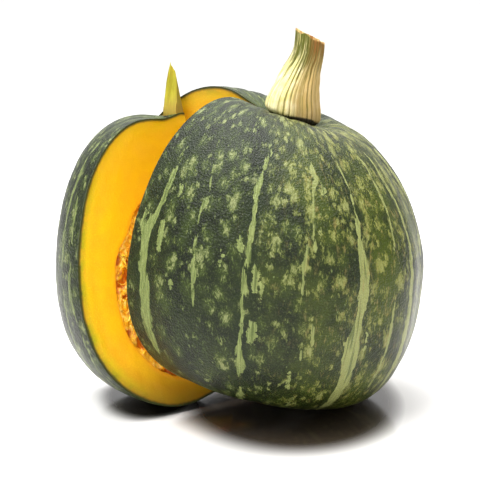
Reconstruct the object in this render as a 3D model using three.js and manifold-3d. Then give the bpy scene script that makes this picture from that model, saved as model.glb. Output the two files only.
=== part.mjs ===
// Kabocha squash with one wedge cut out and drawn aside, both pieces standing on their blossom ends.
// Millimetres, +Z up.  The cut squash leans a little to +X; the wedge stands in front of its notch at -X.
import * as THREE from "three";
import { mergeVertices } from "three/addons/utils/BufferGeometryUtils.js";
import Module from "manifold-3d";

const wasm = await Module();
wasm.setup();

// ---------------------------------------------------------------- driving dimensions
const RADIUS = 90;              // of the fruit at its widest
const CROWN = 91;               // from the widest ring up to the shoulder
const BASE = 76;                // from the widest ring down to the blossom end
const SQUARENESS = 2.75;        // how full the profile is between pole and belly
const CROWN_POWER = 0.6;        // lower makes the shoulder fuller
const BASE_POWER = 0.39;
const STEM_DIP = 18;            // depth of the hollow round the stem, on the body
const WEDGE_STEM_DIP = 7;       // and on the wedge, where the hollow is shallower
const STEM_DIP_WIDTH = 25;
const STEM_KNOB = 6;            // the flesh rises again right under the stem
const STEM_KNOB_WIDTH = 11;
const BLOSSOM_DIP = 12;         // depth of the hollow at the blossom end
const BLOSSOM_DIP_WIDTH = 30;
const CROWN_TILT_X = 0.21;      // the shoulder hangs lower towards +X and -Y
const CROWN_TILT_Y = -0.11;
const BASE_TILT_X = 0.18;       // and so does the underside towards +X
const BELLY_SHIFT = -5;         // belly off the stem axis, along X
const RIBS = 9;
const RIB_DEPTH = 0.02;         // of the local radius
const RIB_START = 225;          // longitude of one groove, degrees

const CUT_FROM = 165;           // longitudes of the two knife cuts that free the wedge
const CUT_TO = 217;
const EDGE_LOST = 8;            // the wedge's thin inner edge is gone: its faces meet this far out
const GAP = 0.3;                // clearance between pieces that touch

const CAVITY_RADIUS = 69;
const CAVITY_CROWN = 60;
const CAVITY_BASE = 56;
const CAVITY_CENTRE = 1;        // height of the cavity's widest ring
const CAVITY_FULLNESS = 0.85;   // 1 is an ellipse, lower is squarer
const PULP_HOLLOW = 0.56;       // share of the cavity radius left empty in the middle
const PULP_RECESS = 1.5;        // the soft pulp sits back from the knife cut
const PULP_LUMPS = 0.035;       // share of the hollow's radius by which its wall waves
const SEED_ROWS = 4;
const SEEDS_PER_ROW = 15;
const SEED_SINK = 1.02;         // seeds are sunk this far into the pulp, as a share of the hollow

const STEM_OFFSET = 4;          // stem off the axis of the cuts, towards +X
const STEM_SEAT = 74;           // height of its foot above the widest ring
const STEM_FOOT = 16.2;         // radius where it spreads on the fruit
const STEM_NECK = 8.4;
const STEM_TAPER = [7, 41];     // heights between which it narrows
const STEM_RIDGES = 8;
const STEM_BEND_RANGE = [12, 42];
const STEM_RIB_LONGITUDE = 187;
const STEM_RIB_WIDTH = 21;      // degrees
const STEM_RIB_RISE = [-5, 20]; // heights over which it swells, then ends
const STEM_RIB_END = [30, 71];
// root and top are heights above the foot: the root ends below the skin, the top is the middle of the cut.
// bend is the sideways step of the neck, towards +X; rib is the thick rib that tore off with the wedge,
// which ends in a point below its top.
const BODY_STEM = { root: -5, top: 49, bend: 7.6, rib: 0 };
const WEDGE_STEM = { root: 12, top: 60, bend: 0, rib: 8.2 };
const STEM_TOP_SLANT = 30;      // degrees, the cut top falls towards +X

const FLAT = 0.8;               // how deep the resting spots are worn

// where the two pieces stand: leans in degrees, places in mm
const BODY_LEAN_RIGHT = 3.6;
const BODY_LEAN_BACK = 3.2;
const BODY_X = 17.4;
const BODY_Y = -0.5;
const WEDGE_LEAN_RIGHT = -10;
const WEDGE_LEAN_BACK = 6.5;
const WEDGE_SHIFT_X = -25.5;
const WEDGE_SHIFT_Y = 4.6;

const SKIN_AROUND = 60;
const SKIN_RINGS = 28;

const rad = THREE.MathUtils.degToRad;

// ---------------------------------------------------------------- shape of the fruit

// Skin at a longitude (radians round the stem axis) and a polar angle (0 at the stem, PI at the blossom end).
// Every meridian lies in one plane through the stem axis, so a knife cut through the axis follows it.
// stemDip is the depth of the hollow round the stem.
function skinPoint(longitude, polar, stemDip) {
  const share = Math.sin(polar);
  const full = Math.max(0, 1 - Math.pow(share, SQUARENESS));
  const upper = polar < Math.PI / 2;
  let z = upper ? CROWN * Math.pow(full, CROWN_POWER) : -BASE * Math.pow(full, BASE_POWER);
  const groove = Math.pow(0.5 + 0.5 * Math.cos(RIBS * (longitude - rad(RIB_START))), 2);
  const ribbing = 1 - RIB_DEPTH * groove * Math.min(1, share * 2.5);
  const reach = RADIUS * share * ribbing + BELLY_SHIFT * share * share * Math.cos(longitude);
  const x = reach * Math.cos(longitude);
  const y = reach * Math.sin(longitude);
  const tilt = upper
    ? CROWN_TILT_X * Math.cos(longitude) + CROWN_TILT_Y * Math.sin(longitude)
    : BASE_TILT_X * Math.cos(longitude);
  z -= Math.abs(z) * share * tilt;
  if (upper) {
    z -= stemDip * Math.exp(-Math.pow(Math.hypot(x - STEM_OFFSET, y) / STEM_DIP_WIDTH, 2));
    z += STEM_KNOB * Math.exp(-Math.pow(reach / STEM_KNOB_WIDTH, 2));
  } else z += BLOSSOM_DIP * Math.exp(-Math.pow(reach / BLOSSOM_DIP_WIDTH, 2));
  return new THREE.Vector3(x, y, z);
}

// The seed cavity and the hollow inside the pulp share this plain egg shape.
function eggPoint(longitude, polar, scale) {
  const reach = CAVITY_RADIUS * scale * Math.pow(Math.sin(polar), CAVITY_FULLNESS);
  const rise = Math.pow(Math.abs(Math.cos(polar)), CAVITY_FULLNESS);
  const height = polar < Math.PI / 2 ? CAVITY_CROWN * rise : -CAVITY_BASE * rise;
  return new THREE.Vector3(
    reach * Math.cos(longitude),
    reach * Math.sin(longitude),
    CAVITY_CENTRE + height * scale,
  );
}

// One ring of the stem.  grow makes the socket that the root stands in.
function stemPoint(longitude, along, grow, share) {
  const height = THREE.MathUtils.lerp(share.root - grow, share.top + grow, along);
  const narrowing = THREE.MathUtils.smoothstep(height, STEM_TAPER[0], STEM_TAPER[1]);
  const bend = share.bend * THREE.MathUtils.smoothstep(height, STEM_BEND_RANGE[0], STEM_BEND_RANGE[1]);
  const ridge = 1 + 0.06 * Math.cos(STEM_RIDGES * longitude) + 0.03 * Math.cos(3 * longitude);
  const away = (longitude - rad(STEM_RIB_LONGITUDE)) / rad(STEM_RIB_WIDTH);
  const swell = THREE.MathUtils.smoothstep(height, STEM_RIB_RISE[0], STEM_RIB_RISE[1]);
  const end = 1 - THREE.MathUtils.smoothstep(height, STEM_RIB_END[0], STEM_RIB_END[1]);
  const rib = share.rib * swell * end * Math.exp(-away * away);
  const reach = THREE.MathUtils.lerp(STEM_FOOT, STEM_NECK, narrowing) * ridge + rib + grow;
  const x = reach * Math.cos(longitude);
  const y = reach * Math.sin(longitude);
  const slant = x * Math.tan(rad(STEM_TOP_SLANT)) * Math.pow(Math.max(0, height) / BODY_STEM.top, 3);
  return new THREE.Vector3(STEM_OFFSET + bend + x, y, height - slant);
}

// ---------------------------------------------------------------- closed surfaces

// A closed surface from rings: point(longitude, t) for t from 0 to 1, capped or closed at both ends.
function closedRings(point, around, rings) {
  const positions = [];
  const index = [];
  const first = middleOf(point, 0, around);
  const last = middleOf(point, 1, around);
  positions.push(first.x, first.y, first.z);
  for (let ring = 0; ring <= rings; ring++) {
    for (let step = 0; step < around; step++) {
      const p = point((2 * Math.PI * step) / around, ring / rings);
      positions.push(p.x, p.y, p.z);
    }
  }
  positions.push(last.x, last.y, last.z);
  const end = positions.length / 3 - 1;
  for (let step = 0; step < around; step++) {
    const next = (step + 1) % around;
    index.push(0, 1 + step, 1 + next);
    for (let ring = 0; ring < rings; ring++) {
      const a = 1 + ring * around + step;
      const b = 1 + ring * around + next;
      index.push(a, a + around, b, b, a + around, b + around);
    }
    index.push(end, 1 + rings * around + next, 1 + rings * around + step);
  }
  const geometry = new THREE.BufferGeometry();
  geometry.setAttribute("position", new THREE.Float32BufferAttribute(positions, 3));
  geometry.setIndex(index);
  return geometry;
}

function middleOf(point, t, around) {
  const middle = new THREE.Vector3();
  for (let step = 0; step < around; step++) {
    middle.add(point((2 * Math.PI * step) / around, t));
  }
  return middle.divideScalar(around);
}

// Polar angle along a ring surface, kept just off the two poles, which the caps close.
function polarAt(t) {
  return THREE.MathUtils.lerp(0.07, Math.PI - 0.07, t);
}

function solidOf(geometry) {
  const plain = geometry.clone();
  plain.deleteAttribute("normal");
  plain.deleteAttribute("uv");
  const merged = mergeVertices(plain, 1e-4);
  const mesh = new wasm.Mesh({
    numProp: 3,
    vertProperties: new Float32Array(merged.attributes.position.array),
    triVerts: new Uint32Array(merged.index.array),
  });
  return new wasm.Manifold(mesh);
}

function geometryOf(solid) {
  const mesh = solid.getMesh();
  const geometry = new THREE.BufferGeometry();
  const indexed = new THREE.BufferGeometry();
  indexed.setAttribute("position", new THREE.BufferAttribute(mesh.vertProperties, 3));
  indexed.setIndex(new THREE.BufferAttribute(mesh.triVerts, 1));
  geometry.copy(indexed.toNonIndexed());
  geometry.computeVertexNormals();
  return geometry;
}

// The sector between the two cuts, as a tall prism.  Its edge stands on the stem axis, or edgeLost out along
// the second cut; the first cut then still ends at the same place on the skin.
// inset moves both faces into the sector.
function sector(inset, edgeLost) {
  const reach = 3;
  const from = rad(CUT_FROM);
  const to = rad(CUT_TO);
  const middle = (from + to) / 2;
  const back = inset / Math.sin((to - from) / 2);
  const edge = new THREE.Vector2(Math.cos(to), Math.sin(to)).multiplyScalar(edgeLost);
  const firstSkin = new THREE.Vector2(Math.cos(from), Math.sin(from)).multiplyScalar(RADIUS);
  const secondSkin = new THREE.Vector2(Math.cos(to), Math.sin(to)).multiplyScalar(RADIUS);
  const shape = new THREE.Shape([
    edge,
    edge.clone().lerp(firstSkin, reach),
    edge.clone().lerp(secondSkin, reach),
  ]);
  const height = RADIUS * 4;
  const prism = new THREE.ExtrudeGeometry(shape, { depth: height, bevelEnabled: false });
  prism.translate(back * Math.cos(middle), back * Math.sin(middle), -height / 2);
  return prism;
}

// ---------------------------------------------------------------- the uncut fruit

function fruitSolid(stemDip) {
  return solidOf(closedRings((lon, t) => skinPoint(lon, polarAt(t), stemDip), SKIN_AROUND, SKIN_RINGS));
}

function stemSolid(grow, share) {
  const stem = closedRings((lon, t) => stemPoint(lon, 1 - t, grow, share), 40, 11);
  stem.translate(0, 0, STEM_SEAT);
  return solidOf(stem);
}

// Soft pulp that lines the cavity and holds the seeds; lumpy on its inner side.
function pulpSolid() {
  const shrink = 1 - GAP / CAVITY_BASE;
  const outer = solidOf(closedRings((lon, t) => eggPoint(lon, polarAt(t), shrink), 32, 14));
  const inner = closedRings((lon, t) => {
    const polar = polarAt(t);
    const lumps = PULP_LUMPS * (Math.sin(5 * lon + 3 * polar) + 0.7 * Math.sin(9 * lon - 7 * polar));
    return eggPoint(lon, polar, PULP_HOLLOW * (1 + lumps));
  }, 28, 12);
  return outer.subtract(solidOf(inner));
}

// Flat, pointed seeds stand in rows on the inner side of the pulp.
function seedGeometry() {
  const seed = new THREE.SphereGeometry(1, 6, 5);
  seed.scale(1.4, 3.6, 6.5);
  return seed;
}

function withSeeds(pulp) {
  let solid = pulp;
  for (let row = 0; row < SEED_ROWS; row++) {
    const polar = rad(55 + 24 * row);
    for (let step = 0; step < SEEDS_PER_ROW; step++) {
      const longitude = 360 * ((step + 0.5 * (row % 2)) / SEEDS_PER_ROW);
      const cutGap = Math.min(Math.abs(longitude - CUT_FROM), Math.abs(longitude - CUT_TO));
      if (cutGap < 9) continue;
      const seed = seedGeometry();
      const tilt = rad(18 * Math.sin(step * 2.1 + row));
      seed.rotateX(tilt);
      seed.rotateZ(rad(25 * Math.cos(step * 1.7 + row)));
      seed.rotateZ(rad(longitude));
      const place = eggPoint(rad(longitude), polar, PULP_HOLLOW * SEED_SINK);
      seed.translate(place.x, place.y, place.z);
      solid = solid.add(solidOf(seed));
    }
  }
  return solid;
}

// ---------------------------------------------------------------- cutting

const wholePulp = withSeeds(pulpSolid());
const cavity = solidOf(closedRings((lon, t) => eggPoint(lon, polarAt(t), 1), 32, 14));

const notch = solidOf(sector(0, 0));
const slice = solidOf(sector(0, EDGE_LOST));
const body = fruitSolid(STEM_DIP).subtract(stemSolid(GAP, BODY_STEM)).subtract(notch).subtract(cavity);
const wedge = fruitSolid(WEDGE_STEM_DIP)
  .subtract(stemSolid(GAP, WEDGE_STEM))
  .intersect(slice)
  .subtract(cavity);
const bodyPulp = wholePulp.subtract(solidOf(sector(-PULP_RECESS, 0)));
const wedgePulp = wholePulp.intersect(solidOf(sector(PULP_RECESS, EDGE_LOST)));

const bodyStem = stemSolid(0, BODY_STEM).subtract(notch);
const wedgeStem = stemSolid(0, WEDGE_STEM).intersect(slice);

// ---------------------------------------------------------------- standing the pieces

const bodyPose = new THREE.Matrix4().makeRotationFromEuler(
  new THREE.Euler(-rad(BODY_LEAN_BACK), rad(BODY_LEAN_RIGHT), 0, "XYZ"),
);
const wedgePose = new THREE.Matrix4().makeRotationFromEuler(
  new THREE.Euler(-rad(WEDGE_LEAN_BACK), rad(WEDGE_LEAN_RIGHT), 0, "XYZ"),
);

function lowest(solid, pose) {
  const geometry = geometryOf(solid).applyMatrix4(pose);
  geometry.computeBoundingBox();
  return geometry.boundingBox.min.z;
}

bodyPose.setPosition(BODY_X, BODY_Y, -lowest(body, bodyPose) - FLAT);
wedgePose.setPosition(BODY_X + WEDGE_SHIFT_X, BODY_Y + WEDGE_SHIFT_Y, -lowest(wedge, wedgePose) - FLAT);

const ground = new THREE.BoxGeometry(RADIUS * 6, RADIUS * 6, RADIUS);
ground.translate(0, 0, -RADIUS / 2);

function place(solid, pose) {
  const standing = solidOf(geometryOf(solid).applyMatrix4(pose));
  return geometryOf(standing.subtract(solidOf(ground)));
}

// ---------------------------------------------------------------- the nodes

const skinGreen = new THREE.MeshStandardMaterial({ color: 0x3f5236, roughness: 0.45, metalness: 0 });
const wedgeGreen = new THREE.MeshStandardMaterial({ color: 0x4a5c3a, roughness: 0.45, metalness: 0 });
const stemCream = new THREE.MeshStandardMaterial({ color: 0xd6cf9a, roughness: 0.8, metalness: 0 });
const stemPale = new THREE.MeshStandardMaterial({ color: 0xc8b94b, roughness: 0.7, metalness: 0 });
const pulpOrange = new THREE.MeshStandardMaterial({ color: 0xe8920f, roughness: 0.6, metalness: 0 });
const pulpDeep = new THREE.MeshStandardMaterial({ color: 0xd9820c, roughness: 0.6, metalness: 0 });

const squash = new THREE.Group();
squash.name = "kabocha_squash";

function addNode(name, solid, pose, material) {
  const mesh = new THREE.Mesh(place(solid, pose), material);
  mesh.name = name;
  squash.add(mesh);
}

addNode("squash_body", body, bodyPose, skinGreen);
addNode("squash_stem", bodyStem, bodyPose, stemCream);
addNode("squash_pulp", bodyPulp, bodyPose, pulpOrange);
addNode("wedge_body", wedge, wedgePose, wedgeGreen);
addNode("wedge_stem", wedgeStem, wedgePose, stemPale);
addNode("wedge_pulp", wedgePulp, wedgePose, pulpDeep);

export default squash;
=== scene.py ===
"""Kabocha squash with one wedge drawn out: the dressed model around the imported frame.

Lengths in the shape functions are millimetres in the uncut fruit's own frame (stem axis = Z).
Each piece is then stood where the frame has it and turned to metres.
"""

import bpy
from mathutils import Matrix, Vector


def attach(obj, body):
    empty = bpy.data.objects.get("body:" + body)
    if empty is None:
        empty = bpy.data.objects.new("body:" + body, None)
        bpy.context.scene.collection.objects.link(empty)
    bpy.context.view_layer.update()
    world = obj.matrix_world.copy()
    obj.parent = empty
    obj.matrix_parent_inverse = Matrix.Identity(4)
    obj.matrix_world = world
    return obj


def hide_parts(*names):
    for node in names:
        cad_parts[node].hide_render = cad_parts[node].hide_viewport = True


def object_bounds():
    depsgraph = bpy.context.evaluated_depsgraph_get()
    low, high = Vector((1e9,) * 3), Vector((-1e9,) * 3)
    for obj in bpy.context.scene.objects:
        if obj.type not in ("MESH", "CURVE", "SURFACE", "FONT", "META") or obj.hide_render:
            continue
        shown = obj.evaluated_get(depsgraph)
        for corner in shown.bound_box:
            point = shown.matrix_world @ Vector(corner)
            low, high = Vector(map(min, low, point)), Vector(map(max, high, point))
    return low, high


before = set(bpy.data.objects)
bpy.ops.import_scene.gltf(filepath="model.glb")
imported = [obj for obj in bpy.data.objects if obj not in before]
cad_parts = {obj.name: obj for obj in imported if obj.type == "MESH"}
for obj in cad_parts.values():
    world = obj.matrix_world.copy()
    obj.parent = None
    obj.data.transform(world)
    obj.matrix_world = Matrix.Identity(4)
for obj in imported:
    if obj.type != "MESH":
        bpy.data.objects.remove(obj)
cad_box = [list(corner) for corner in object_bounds()]

import math
import bmesh
import bpy
import numpy as np
from mathutils import Matrix, Vector

RAD = math.pi / 180
TURN = 360.0

# ---- driving dimensions, as in the solids
RADIUS, CROWN, BASE = 90.0, 91.0, 76.0
SQUARENESS, CROWN_POWER, BASE_POWER = 2.75, 0.6, 0.39
STEM_DIP, WEDGE_STEM_DIP, STEM_DIP_WIDTH = 18.0, 7.0, 25.0
STEM_KNOB, STEM_KNOB_WIDTH = 6.0, 11.0
BLOSSOM_DIP, BLOSSOM_DIP_WIDTH = 12.0, 30.0
CROWN_TILT_X, CROWN_TILT_Y, BASE_TILT_X = 0.21, -0.11, 0.18
BELLY_SHIFT = -5.0
RIBS, RIB_DEPTH, RIB_START, RIB_FADE = 9, 0.02, 225.0, 2.5
CUT_FROM, CUT_TO, EDGE_LOST = 165.0, 217.0, 8.0
CAVITY_RADIUS, CAVITY_CROWN, CAVITY_BASE = 69.0, 60.0, 56.0
CAVITY_CENTRE, CAVITY_FULLNESS = 1.0, 0.85
PULP_HOLLOW, PULP_RECESS = 0.56, 1.5
SEED_ROWS, SEEDS_PER_ROW = 4, 15
STEM_OFFSET, STEM_SEAT = 4.0, 74.0
STEM_FOOT, STEM_NECK, STEM_TAPER = 16.2, 8.4, (7.0, 41.0)
STEM_RIDGES, STEM_BEND_RANGE, STEM_TOP_SLANT = 8, (12.0, 42.0), 30.0
STEM_RIB_LONGITUDE, STEM_RIB_WIDTH, STEM_RIB_RISE = 187.0, 21.0, (-5.0, 20.0)
BODY_STEM = {"root": -5.0, "top": 49.0, "bend": 7.6, "rib": 0.0}
WEDGE_STEM = {"root": 12.0, "top": 60.0, "bend": 0.0, "rib": 8.2}

# the big piece keeps the longitudes from the second cut round to the first, the wedge those between
BODY_SECTOR = (CUT_TO, CUT_FROM + TURN)
WEDGE_SECTOR = (CUT_FROM, CUT_TO)


def turn(back, right):
    """Rotation about X then Y, degrees."""
    return np.array(Matrix.Rotation(-back * RAD, 3, "X") @ Matrix.Rotation(right * RAD, 3, "Y"))


# rotation and place of each piece
BODY_POSE = (turn(3.2, 3.6), np.array([17.4, -0.5, 78.26]))
WEDGE_POSE = (turn(6.5, -10.0), np.array([-8.1, 4.1, 71.03]))

# ---- noise

LAYER_RATIO, LAYER_SHIFT = 2.03, 17.3


def lattice(cell, seed):
    """A repeatable number from -1 to 1 for each whole-number cell."""
    n = cell.astype(np.int64)
    mixed = n[:, 0] * 374761393 + n[:, 1] * 668265263 + n[:, 2] * 2147483647 + seed * 1442695041
    mixed = (mixed ^ (mixed >> 13)) * 1274126177
    mixed = mixed ^ (mixed >> 16)
    return (mixed & 0xFFFFFF) / float(0x7FFFFF) - 1.0


def value_noise(points, seed):
    """Noise that runs smoothly between the numbers at the corners of each point's cell."""
    base = np.floor(points)
    part = points - base
    part = part * part * (3 - 2 * part)
    total = np.zeros(len(points))
    for corner in np.ndindex(2, 2, 2):
        weight = np.ones(len(points))
        for axis, step in enumerate(corner):
            weight = weight * (part[:, axis] if step else 1 - part[:, axis])
        total += weight * lattice(base + np.array(corner), seed)
    return total


def fractal(points, size, layers, seed):
    """Layered noise, about -1 to 1, whose largest features are size wide."""
    points = np.asarray(points, float)
    flat = points.reshape(-1, 3) / size
    total = np.zeros(len(flat))
    for layer in range(layers):
        total += value_noise(flat * LAYER_RATIO**layer + LAYER_SHIFT * layer, seed + layer) * 0.5**layer
    return total.reshape(points.shape[:-1])


def smooth(value, low, high):
    """0 below low, 1 above high, eased between."""
    t = np.clip((value - low) / (high - low), 0, 1)
    return t * t * (3 - 2 * t)


def hump(value, centre, width):
    """1 where value is centre, down to 0 on both sides within about two widths."""
    return np.exp(-(((value - centre) / width) ** 2))


def round_axis(reach, longitude, height):
    """The point at reach from the axis, at a longitude in radians and a height."""
    return np.stack([reach * np.cos(longitude), reach * np.sin(longitude), height], axis=-1)


# ---- shape of the fruit

CREASE_DEPTH, CREASE_REACH, CREASE_START = 1.1, 42.0, (6.0, 16.0)
DENT_DEPTH, DENT_SIZE = 0.35, 26.0
PEBBLE_DEPTH, PEBBLE_SIZE = 0.1, 4.5
MOAT_DEPTH, MOAT_INSET, MOAT_WIDTH = 1.8, 0.6, 1.7
# in tenths of the cavity's radius, how its wall wanders and how it bulges inwards on the upper flank
WANDER, WANDER_LEVEL, WANDER_SIZE = 0.16, 0.12, 15.0
FLANK_BULGE, FLANK_HEIGHT, FLANK_WIDTH = 1.1, 40.0, 18.0


def skin(longitude, polar, dip):
    """Skin of the uncut fruit, at angles in radians; dip is the depth of the hollow round the stem."""
    share = np.sin(polar)
    full = np.clip(1 - share**SQUARENESS, 0, None)
    upper = polar < math.pi / 2
    z = np.where(upper, CROWN * full**CROWN_POWER, -BASE * full**BASE_POWER)
    groove = (0.5 + 0.5 * np.cos(RIBS * (longitude - RIB_START * RAD))) ** 2
    ribbing = 1 - RIB_DEPTH * groove * np.minimum(1, share * RIB_FADE)
    reach = RADIUS * share * ribbing + BELLY_SHIFT * share * share * np.cos(longitude)
    x, y = reach * np.cos(longitude), reach * np.sin(longitude)
    tilt = np.where(
        upper,
        CROWN_TILT_X * np.cos(longitude) + CROWN_TILT_Y * np.sin(longitude),
        BASE_TILT_X * np.cos(longitude),
    )
    z = z - np.abs(z) * share * tilt
    stem_dip = dip * hump(np.hypot(x - STEM_OFFSET, y), 0, STEM_DIP_WIDTH)
    knob = STEM_KNOB * hump(reach, 0, STEM_KNOB_WIDTH)
    blossom = BLOSSOM_DIP * hump(reach, 0, BLOSSOM_DIP_WIDTH)
    z = np.where(upper, z - stem_dip + knob, z + blossom)
    return np.stack([x, y, z], axis=-1)


def stem_moat(points):
    """1 in the narrow gap that runs round the foot of the stem, 0 away from it."""
    away = np.hypot(points[..., 0] - STEM_OFFSET, points[..., 1])
    return hump(away, STEM_FOOT - MOAT_INSET, MOAT_WIDTH) * (points[..., 2] > 0)


def fine_skin(longitude, polar, dip):
    """The skin with the small unevenness of a real rind, all of it inwards."""
    point = skin(longitude, polar, dip)
    share = np.sin(polar)
    radial = np.hypot(point[..., 0], point[..., 1])
    near_stem = hump(radial, 0, CREASE_REACH) * (polar < math.pi / 2) * smooth(radial, *CREASE_START)
    creases = near_stem * (0.5 + 0.5 * np.cos(RIBS * 2 * longitude + 0.8 * np.sin(longitude * 3))) ** 2
    dents = DENT_DEPTH * (fractal(point, DENT_SIZE, 2, 11) + 1) * share
    pebbles = PEBBLE_DEPTH * (fractal(point, PEBBLE_SIZE, 3, 23) + 1)
    moat = MOAT_DEPTH * stem_moat(point) if dip == STEM_DIP else 0
    depth = CREASE_DEPTH * creases + dents + pebbles + moat
    return point - point / np.linalg.norm(point, axis=-1, keepdims=True) * depth[..., None]


def egg(longitude, polar, scale):
    """The plain form shared by the seed cavity and the hollow inside the pulp."""
    reach = CAVITY_RADIUS * scale * np.sin(polar) ** CAVITY_FULLNESS
    rise = np.abs(np.cos(polar)) ** CAVITY_FULLNESS
    height = np.where(polar < math.pi / 2, CAVITY_CROWN * rise, -CAVITY_BASE * rise)
    return round_axis(reach, longitude, CAVITY_CENTRE + height * scale)


def cavity(longitude, polar):
    """The ragged inner side of the flesh."""
    point = egg(longitude, polar, 1.0)
    tight = egg(longitude, polar, 0.9)
    bulge = FLANK_BULGE * hump(point[..., 2], FLANK_HEIGHT, FLANK_WIDTH)
    wander = WANDER * fractal(point, WANDER_SIZE, 3, 41) - WANDER_LEVEL + bulge
    return point + (tight - point) * wander[..., None]


def cut_directions(angle, side=1):
    """Outwards along the cut at an angle in degrees, and away from it to the side that is kept."""
    cosine, sine = math.cos(angle * RAD), math.sin(angle * RAD)
    return np.array([cosine, sine, 0]), np.array([-sine, cosine, 0]) * side


def without_edge(points):
    """The wedge's thin inner edge is gone: its cut faces meet EDGE_LOST out along the near cut."""
    share = np.clip(1 - np.hypot(points[:, 0], points[:, 1]) / RADIUS, 0, 1)
    return points + EDGE_LOST * share[:, None] * cut_directions(CUT_TO)[0]


# ---- colour fields carried by the skin

OUTSIDE = -30.0               # a field's value far from any mark
MAP_RADIUS, STEM_MAP_RADIUS = 9.0, 1.4    # the skin map winds round at these radii
MAP_DOWN = 10.0               # and takes this many millimetres for each unit along the axis
SHADED_LONGITUDE = 150.0      # the rind is ripest on the side that faces away from this


def meridian_length(points):
    """Arc length down each meridian, mm; points is [polar, longitude, xyz]."""
    steps = np.linalg.norm(np.diff(points, axis=0), axis=-1)
    return np.concatenate([np.zeros((1, points.shape[1])), np.cumsum(steps, axis=0)], axis=0)


# Pale stripes run down the grooves.  Each has a longitude and stations: how far down the meridian from the
# stem axis, how far to the side of the longitude and how wide to either side (all mm).
SEEN_STRIPES = (
    (225.0, (
        (42, 16, 0.3), (50, 8, 0.4), (66, 4.6, 0.5), (86, 2.4, 1.0), (104, 2.6, 2.2), (113, 1.6, 1.8),
        (130, -2.8, 3.4), (146, -1.8, 3.2), (160, 0, 4.1), (178, 0, 4.0), (190, 0.4, 2.6), (200, 1, -1)
    )),
    (260.5, (
        (56, 3.6, -1), (60, 3.6, 0.5), (69, 4.4, 1.2), (80, 3, 1.0), (91, 1.2, 1.7), (108, 1, 1.3),
        (121, 0.4, 2.1), (133, -0.4, 1.2), (142, 0, 1.9), (160, -1, 1.5), (172, -1, 1.6), (182, -1, 2.7),
        (191, -1, 1.4), (196, -1, -0.4), (204, -2, 1.2), (216, -3.6, 2.7), (224, -3.6, 1.6), (232, -3.6, -1)
    )),
    (300.5, (
        (58, -6, -1), (64, -4, 0.5), (81, 0, 1.1), (96, 0, 1.2), (104, 0, 2.2), (114, 0, 2.6),
        (126, 2, 3.8), (140, 1, 3.7), (148, 0.4, 2.9), (156, -1, 4.0), (163, -2, 6.4), (174, -1, 5.6),
        (186, 0, 4.4), (204, 0.8, 3.4), (218, 1.6, 2.0), (232, 2, 0.8), (244, 2, -1)
    )),
    (327.6, (
        (52, -3, -1), (60, -2, 1.0), (84, 0, 1.8), (110, 1, 1.6), (140, 0, 3.0), (160, 1, 3.6),
        (184, 0, 2.4), (206, 0, 1.6), (224, 0, -1)
    )),
)
# Narrow broken stripes between them, in the same terms.
SEEN_THREADS = (
    (243.8, (
        (84, -0.6, -1), (88, -0.4, 0.45), (98, 1, 0.5), (101, 1, -0.5), (104, 0.8, 1.4), (108, 0, 1.3),
        (112, -1.6, 0.7), (130, -0.4, 0.7), (138, -0.4, 0.8), (142, 0.6, 1.7), (148, 0, 0.9),
        (158, 1.4, 0.5), (163, 1.4, -1)
    )),
    (282.0, (
        (47, -2, -1), (51, -2, 0.6), (57, -1.4, -0.6), (70, 1.4, -0.6), (74, 1.6, 1.5), (82, 3, 1.5),
        (87, 1.2, 1.0), (98, 0.2, 1.1), (104, 0.4, 0.7), (112, -0.2, 0.8), (117, 0.6, 1.4),
        (121, 0.6, -0.8), (151, 1, -0.8), (156, 1.2, 1.1), (164, 2, 1.0), (169, 2, -1)
    )),
    (279.4, (
        (112, 1, -1), (116, 1, 1.0), (124, -0.4, 0.9), (131, -0.8, 0.7), (141, -1.2, 0.5), (146, -1, -1),
        (163, 2.6, -1), (167, 1.8, 0.4), (181, 0.4, 0.4), (184, 0, -1)
    )),
    (317.0, (
        (60, 0, -1), (66, 0, 0.8), (92, 1, 1.0), (120, 0, 0.6), (126, 0, -0.6), (138, 0, -0.6),
        (146, 0, 1.2), (190, 0, 0.8), (200, 0, -1)
    )),
)
# Patches that lie beside the stripes: longitude, arc, half width and half length, mm.
SEEN_PATCHES = (
    (229.6, 128, 2.4, 9), (220.8, 126, 2.2, 8), (263.3, 136, 1.7, 10), (265.6, 139, 1.3, 7),
    (263.6, 163, 2.6, 7), (257.9, 121, 1.7, 5), (287.2, 86, 1.8, 3.4), (283.9, 111, 1.2, 3.6),
    (277.3, 190, 1.6, 6), (281.5, 211, 1.2, 7), (236.4, 150, 1.6, 2.6), (233.0, 103, 1.5, 4),
    (271.6, 216, 1.1, 8), (252.5, 131, 1.2, 4), (305.4, 160, 1.2, 6),
)
# The stripes and threads on the sides that face away, each drawn by rule.
HIDDEN_STRIPES = (352.0, 16.0, 52.0, 90.0, 127.0, 152.0, 185.5)
HIDDEN_THREADS = (339.0, 4.0, 33.0, 42.0, 70.0, 80.0, 108.0, 118.0, 140.0, 164.0, 172.0, 195.0, 206.0, 212.5)

# half width of the drawn stripes and threads, where they start and where they end, mm
DRAWN_STRIPE, DRAWN_THREAD = (2.6, (42, 64), 222), (1.0, (56, 96), 205)
# how they vary from one station to the next, mm
STATION_STEP, STATION_LEAD, SIDE_STEP = (7, 17), 4, 1.8
WIDTH_SHARES, BREAK_WIDTH = (0.45, 1.5), -0.6
# patches beside each drawn stripe: degrees to the side, arc, half width and half length, mm
PATCHES_EACH, PATCH_SIDES, PATCH_ARC = 3, (-3, 3), (90, 190)
PATCH_HALF, PATCH_LENGTH = (1.1, 2.6), (3, 9)


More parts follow.
